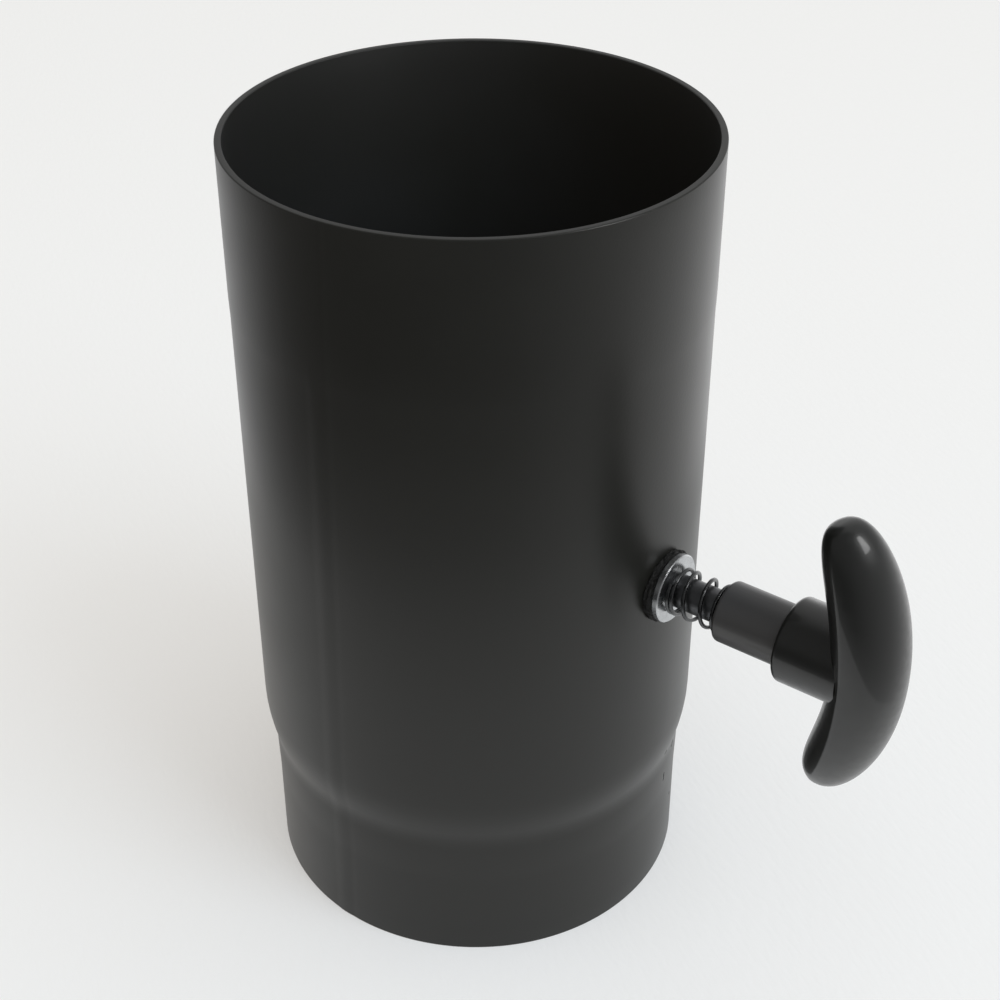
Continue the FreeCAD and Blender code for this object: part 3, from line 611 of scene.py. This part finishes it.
class DAMPER_OT_screws(bpy.types.Operator):
    """Build the plate's hexagon screws, with crowned heads and real threads"""
    bl_idname = "damper.screws"
    bl_label = "Plate screws"

    def execute(self, context):
        sizes = context.scene.damper_screws
        corner = sizes.across / math.sqrt(3)
        crown, crown_slope = 0.35 * MM, 1.7
        depth, lead = 0.45 * MM, 0.4 * MM
        around = 48
        turn = Matrix.Rotation(sizes.rest_turn, 4, "X")
        made = bmesh.new()
        levels = []
        length = sizes.seat + sizes.tip
        thread_steps = round(length / sizes.pitch) * 8
        for step in range(thread_steps + 1):
            levels.append(("thread", -sizes.tip + length * step / thread_steps))
        top = sizes.seat + sizes.head
        levels += [("face", sizes.seat), ("flat", sizes.seat), ("flat", top - crown), ("crown", top - 0.5 * crown),
                   ("crown", top)]
        for side in (1, -1):
            rings = []
            for kind, height in levels:
                ring = []
                for step in range(around):
                    angle = FULL_TURN * step / around
                    within = (angle + math.pi / 6) % (math.pi / 3) - math.pi / 6
                    hexagon = min(corner, 0.5 * sizes.across / math.cos(within))
                    if kind == "thread":
                        phase = (height / sizes.pitch - angle / FULL_TURN) % 1
                        radius = sizes.radius - depth * abs(2 * phase - 1)
                        radius -= max(0, lead - (height + sizes.tip))
                    elif kind == "face":
                        radius = sizes.radius
                    elif kind == "flat":
                        radius = hexagon
                    else:
                        radius = min(hexagon, corner - crown_slope * (height - top + crown) - 0.05 * MM)
                    spot = Vector((radius * math.cos(angle), height, radius * math.sin(angle)))
                    spot.x += side * sizes.offset
                    ring.append(made.verts.new(SPINDLE_PLACE + turn @ spot))
                rings.append(ring)
            skin_rings(made, rings)
            made.faces.new(rings[0])
            made.faces.new(rings[-1])
        piece = smooth_piece("hexagon_screws", made, sharp=25)
        piece.data.materials.append(finished("zinc_plated_steel"))
        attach(piece, "damper")
        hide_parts("plate_screws")
        return {"FINISHED"}


class DAMPER_OT_handle(bpy.types.Operator):
    """Mould the crescent handle with its round boss, and finish its sleeve"""
    bl_idname = "damper.handle"
    bl_label = "Handle and sleeve"

    def execute(self, context):
        looks = context.scene.damper_finishes
        sizes = context.scene.damper_handle
        # The crescent: an outer half round and a flatter inner arc, closing at both tips.
        rest = Matrix.Rotation(context.scene.damper_screws.rest_turn, 3, "X")
        made = bmesh.new()
        rings = []
        # Sections along it, closer together where the tips close.
        turns = [*range(0, 84, 3), 84, 86, 87.5, 88.6, 89.3, 89.8]
        for turn in [-turn for turn in reversed(turns[1:])] + turns:
            share = math.sin(math.radians(turn))
            closing = (1 - abs(share) ** sizes.end_power) ** (1 / sizes.end_power)
            half = (sizes.half_width + (sizes.lobe_half_width - sizes.half_width) * share ** 2) * closing
            depth = half * (sizes.inner + (sizes.lobe_inner - sizes.inner) * share ** 2)
            # The inner arc runs through both sides and the inner side's middle.
            inner_radius = (half ** 2 + depth ** 2) / (2 * depth)
            opening = math.asin(min(1.0, half / inner_radius))
            angle = sizes.half_length * share / sizes.bend
            outward = Vector((math.cos(angle), 0, math.sin(angle)))
            centre = Vector((sizes.middle - sizes.bend, 0, 0)) + outward * sizes.bend
            ring = []
            for step in range(sizes.around):
                part = 2 * step / sizes.around
                if part < 1:
                    across, out = math.cos(math.pi * part), math.sin(math.pi * part)
                    across, out = half * across, half * out
                else:
                    lean = opening * (2 * (part - 1) - 1)
                    across = inner_radius * math.sin(lean)
                    out = inner_radius - depth - inner_radius * math.cos(lean)
                spot = centre + outward * out + Vector((0, across, 0))
                ring.append(made.verts.new(SPINDLE_PLACE + rest @ spot))
            rings.append(ring)
        skin_rings(made, rings)
        made.faces.new(rings[0])
        made.faces.new(rings[-1])
        piece = smooth_piece("crescent_handle", made)
        edge = [(sizes.boss_start + sizes.boss_edge * (1 - math.sin(turn)),
                 sizes.boss_radius - sizes.boss_edge * (1 - math.cos(turn)))
                for turn in [math.radians(90 - 9 * step) for step in range(11)]]
        cut_out(piece, turned([*edge, (sizes.boss_end, sizes.boss_radius)]), operation="UNION", sharp=35)
        cut_out(piece, turned([
            (sizes.boss_start - 1 * MM, sizes.seat_radius), (sizes.seat_end, sizes.seat_radius),
            (sizes.seat_end, sizes.pocket_radius), (sizes.key_start, sizes.pocket_radius),
            (sizes.key_start, sizes.waist), (sizes.key_end, sizes.waist), (sizes.key_end, sizes.pocket_radius),
            (sizes.pocket_end, sizes.pocket_radius)]), sharp=35)

        # Phenolic resin, hot pressed in a polished mould: deep black under a thin glossy skin, faintly wavy.
        resin, shader = new_material("phenolic_moulded_gloss")
        place = add_node(resin, "ShaderNodeTexCoord").outputs["Object"]
        waves = add_node(resin, "ShaderNodeTexNoise",
                         {"Vector": place, "Scale": per_mm(9), "Detail": 1.0}).outputs["Fac"]
        haze = add_node(resin, "ShaderNodeTexNoise",
                        {"Vector": place, "Scale": per_mm(2.5), "Detail": 3.0}).outputs["Fac"]
        rough = add_node(resin, "ShaderNodeMapRange", {
            "Value": haze, "From Min": 0.3, "From Max": 0.7, "To Min": 0.33, "To Max": 0.41})
        relief = add_node(resin, "ShaderNodeBump", {"Height": waves, "Strength": 0.15, "Distance": 0.2 * MM})
        feed(resin, shader, Roughness=rough.outputs["Result"], Normal=relief.outputs["Normal"])
        fill(shader, Base_Color=hex_colour(looks.phenolic), IOR=1.5, Coat_Weight=0.4, Coat_Roughness=0.06)
        piece.data.materials.clear()
        piece.data.materials.append(resin)
        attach(piece, "damper")
        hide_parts("handle")

        # Moulded sleeve from a spark eroded tool: dull black and finely textured, with streaks along it
        # where it was drawn off the tool.
        tube, shader = new_material("sleeve_moulded_matt")
        place = add_node(tube, "ShaderNodeTexCoord").outputs["Object"]
        grit = add_node(tube, "ShaderNodeTexNoise",
                        {"Vector": place, "Scale": per_mm(0.6), "Detail": 2.0}).outputs["Fac"]
        along = add_node(tube, "ShaderNodeVectorMath", {0: place, 1: (0.08, 1.0, 1.0)}, operation="MULTIPLY")
        streaks = add_node(tube, "ShaderNodeTexNoise", {
            "Vector": along.outputs[0], "Scale": per_mm(2.2), "Detail": 2.0}).outputs["Fac"]
        rough = add_node(tube, "ShaderNodeMapRange", {
            "Value": streaks, "From Min": 0.3, "From Max": 0.7, "To Min": 0.32, "To Max": 0.5})
        relief = add_node(tube, "ShaderNodeBump", {"Height": grit, "Strength": 0.3, "Distance": 0.06 * MM})
        feed(tube, shader, Roughness=rough.outputs["Result"], Normal=relief.outputs["Normal"])
        fill(shader, Base_Color=hex_colour(looks.sleeve), IOR=1.6)
        dress("sleeve", tube)
        return {"FINISHED"}


class DAMPER_OT_stage(bpy.types.Operator):
    """Lay the pale floor, set the lights and aim the camera"""
    bl_idname = "damper.stage"
    bl_label = "Stage"

    def execute(self, context):
        stage = context.scene.damper_stage
        scene = context.scene
        scene.view_settings.view_transform = "Standard"

        floor_mesh = bpy.data.meshes.new("paper_floor")
        reach = stage.reach
        floor_mesh.from_pydata([(-reach, -reach, 0), (reach, -reach, 0), (reach, reach, 0), (-reach, reach, 0)],
                               [], [(0, 1, 2, 3)])
        floor = bpy.data.objects.new("paper_floor", floor_mesh)
        scene.collection.objects.link(floor)
        # Uncoated paper, embossed with short ridges that run slanting across the floor.
        paper, shader = new_material("embossed_paper")
        place = add_node(paper, "ShaderNodeTexCoord").outputs["Object"]
        slant = add_node(paper, "ShaderNodeMapping", {
            "Vector": place, "Rotation": (0, 0, math.radians(-32)), "Scale": (3.0, 1.0, 1.0)}, vector_type="TEXTURE")
        tooth = add_node(paper, "ShaderNodeTexNoise", {
            "Vector": slant.outputs[0], "Scale": per_mm(2.4), "Detail": 2.0}).outputs["Fac"]
        relief = add_node(paper, "ShaderNodeBump", {"Height": tooth, "Strength": 0.6, "Distance": 0.3 * MM})
        feed(paper, shader, Normal=relief.outputs["Normal"])
        fill(shader, Base_Color=hex_colour(stage.paper), Roughness=0.9, Specular_IOR_Level=0.1)
        # Part of the paper's tone is its own where the camera, metal or gloss sees it, which lifts the shade.
        glow = add_node(paper, "ShaderNodeEmission", {"Color": hex_colour(stage.paper), "Strength": 1.0})
        lift = add_node(paper, "ShaderNodeMath", {0: seen_rays(paper), 1: stage.paper_glow}, operation="MULTIPLY")
        blend = add_node(paper, "ShaderNodeMixShader", {
            0: lift.outputs[0], 1: shader.outputs["BSDF"], 2: glow.outputs["Emission"]})
        feed(paper, paper.node_tree.nodes["Material Output"], Surface=blend.outputs["Shader"])
        floor_mesh.materials.append(paper)

        # The card, seen by reflections alone: the room behind the camera is dark, it gets lighter towards
        # the back, it is dim above, and a window stands on the handle's side.
        card_mesh = bpy.data.meshes.new("graded_card")
        spots, faces, windows = [], [], []
        steps = (CARD_TO - CARD_FROM) // CARD_STEP
        for step in range(steps + 1):
            bearing = CARD_FROM + CARD_STEP * step
            side = math.radians(bearing)
            spots += [(radius * math.sin(side), -radius * math.cos(side), height) for radius, height in CARD_ROWS]
            for row in range(len(CARD_ROWS) - 1 if step else 0):
                corner = step * len(CARD_ROWS) + row
                before = corner - len(CARD_ROWS)
                faces.append((before, corner, corner + 1, before + 1))
                windows.append(WINDOW_BEARINGS[0] < bearing <= WINDOW_BEARINGS[1]
                               and WINDOW_HEIGHTS[0] <= CARD_ROWS[row][1] < WINDOW_HEIGHTS[1])
        card_mesh.from_pydata(spots, [], faces)
        card = bpy.data.objects.new("graded_card", card_mesh)
        scene.collection.objects.link(card)
        grey, shader = new_material("graded_grey_card")
        place = add_node(grey, "ShaderNodeTexCoord").outputs["Object"]
        axes = add_node(grey, "ShaderNodeSeparateXYZ", {"Vector": place})
        ahead = add_node(grey, "ShaderNodeMath", {0: axes.outputs["Y"], 1: -1.0}, operation="MULTIPLY")
        bearing = add_node(grey, "ShaderNodeMath", {0: axes.outputs["X"], 1: ahead.outputs[0]},
                           operation="ARCTAN2")
        # Bearings past the back come out negative, and are counted on from the start of the card.
        onward = add_node(grey, "ShaderNodeMath", {
            0: bearing.outputs[0], 1: math.radians(CARD_TO), 2: math.radians(CARD_FROM)}, operation="WRAP")
        share = add_node(grey, "ShaderNodeMapRange", {
            "Value": onward.outputs[0], "From Min": math.radians(CARD_FROM), "From Max": math.radians(CARD_TO)})
        ramp = add_node(grey, "ShaderNodeValToRGB", {"Fac": share.outputs["Result"]})
        stops = ramp.color_ramp.elements
        while len(stops) < len(CARD_GREYS):
            stops.new(1.0)
        for stop, (angle, level) in zip(stops, CARD_GREYS):
            stop.position = (angle - CARD_FROM) / (CARD_TO - CARD_FROM)
            stop.color = (*[level / CARD_STRENGTH] * 3, 1.0)
        above = add_node(grey, "ShaderNodeMapRange", {
            "Value": axes.outputs["Z"], "From Min": 0.12, "From Max": 0.22, "To Max": CARD_ABOVE_SHARE})
        level = add_node(grey, "ShaderNodeMix", {
            "Factor": above.outputs["Result"], MIX_A: ramp.outputs["Color"],
            MIX_B: (*[CARD_ABOVE / CARD_STRENGTH] * 3, 1.0)}, data_type="RGBA")
        feed(grey, shader, Emission_Color=level.outputs[MIXED])
        fill(shader, Base_Color=hex_colour("#000000"), Emission_Strength=CARD_STRENGTH, Specular_IOR_Level=0.0)
        pane, shader = new_material("bright_window")
        fill(shader, Base_Color=hex_colour("#000000"), Emission_Color=hex_colour("#FFFFFF"),
             Emission_Strength=WINDOW_STRENGTH, Specular_IOR_Level=0.0)
        card_mesh.materials.append(grey)
        card_mesh.materials.append(pane)
        for face, window in zip(card_mesh.polygons, windows):
            face.material_index = int(window)
        card.visible_camera = False
        card.visible_shadow = False
        card.visible_diffuse = False

        # The room lights softly, and is plain pale where the camera, metal or gloss sees it.
        world = bpy.data.worlds.new("even_room")
        scene.world = world
        world.use_nodes = True
        seen = seen_rays(world)
        strength = add_node(world, "ShaderNodeMapRange", {"Value": seen, "To Min": stage.room, "To Max": 1.0})
        tint = add_node(world, "ShaderNodeMix", {"Factor": seen, MIX_A: hex_colour(stage.room_tint),
                                                 MIX_B: hex_colour(stage.paper)}, data_type="RGBA")
        sky = world.node_tree.nodes["Background"]
        feed(world, sky, Color=tint.outputs[MIXED], Strength=strength.outputs["Result"])

        sun = bpy.data.lights.new("top_light", "SUN")
        sun.energy = stage.top
        sun.color = stage.lamp_tint
        sun.angle = stage.top_angle
        top = bpy.data.objects.new("top_light", sun)
        top.rotation_euler = Vector(stage.top_ahead).to_track_quat("-Z", "Y").to_euler()
        # Reflections have the card and its window instead of the lamps.
        top.visible_glossy = False
        scene.collection.objects.link(top)

        box = bpy.data.lights.new("softbox", "AREA")
        box.shape = "RECTANGLE"
        box.size, box.size_y = stage.softbox_size[0], stage.softbox_size[1]
        box.energy = stage.softbox
        box.color = stage.lamp_tint
        softbox = bpy.data.objects.new("softbox", box)
        towards = Vector(stage.softbox_towards).normalized()
        softbox.location = SPINDLE_PLACE + towards * stage.softbox_away
        softbox.rotation_euler = (-towards).to_track_quat("-Z", "Y").to_euler()
        softbox.visible_glossy = False
        scene.collection.objects.link(softbox)

        camera_data = bpy.data.cameras.new("photo_camera")
        camera_data.lens = stage.lens
        camera_data.sensor_width = 36
        camera_data.clip_start = 0.01
        camera = bpy.data.objects.new("photo_camera", camera_data)
        right = Vector(stage.right).normalized()
        back = -Vector(stage.ahead).normalized()
        up = back.cross(right)
        turn = Matrix((right, up, back)).transposed().to_4x4()
        camera.matrix_world = Matrix.Translation(Vector(stage.eye)) @ turn
        scene.collection.objects.link(camera)
        scene.camera = camera
        return {"FINISHED"}


PIECES = (DAMPER_OT_paint, DAMPER_OT_pipe, DAMPER_OT_metal, DAMPER_OT_seal, DAMPER_OT_screws, DAMPER_OT_handle,
          DAMPER_OT_stage)


class DAMPER_PT_panel(bpy.types.Panel):
    """Lists the damper's pieces in the sidebar"""
    bl_idname = "DAMPER_PT_panel"
    bl_label = "Stove pipe damper"
    bl_space_type = "VIEW_3D"
    bl_region_type = "UI"
    bl_category = "Damper"

    def draw(self, context):
        for piece in PIECES:
            self.layout.operator(piece.bl_idname)


GROUPS = {
    "damper_finishes": DamperFinishes,
    "damper_seal": DamperSeal,
    "damper_pipe": DamperPipe,
    "damper_handle": DamperHandle,
    "damper_screws": DamperScrews,
    "damper_stage": DamperStage,
}


def register():
    for name, group in GROUPS.items():
        bpy.utils.register_class(group)
        setattr(bpy.types.Scene, name, PointerProperty(type=group))
    for piece in (*PIECES, DAMPER_PT_panel):
        bpy.utils.register_class(piece)


def unregister():
    for piece in (DAMPER_PT_panel, *reversed(PIECES)):
        bpy.utils.unregister_class(piece)
    for name, group in GROUPS.items():
        delattr(bpy.types.Scene, name)
        bpy.utils.unregister_class(group)


def main():
    register()
    bpy.ops.damper.paint()
    bpy.ops.damper.pipe()
    bpy.ops.damper.metal()
    bpy.ops.damper.seal()
    bpy.ops.damper.screws()
    bpy.ops.damper.handle()
    bpy.ops.damper.stage()


if __name__ == "__main__":
    main()
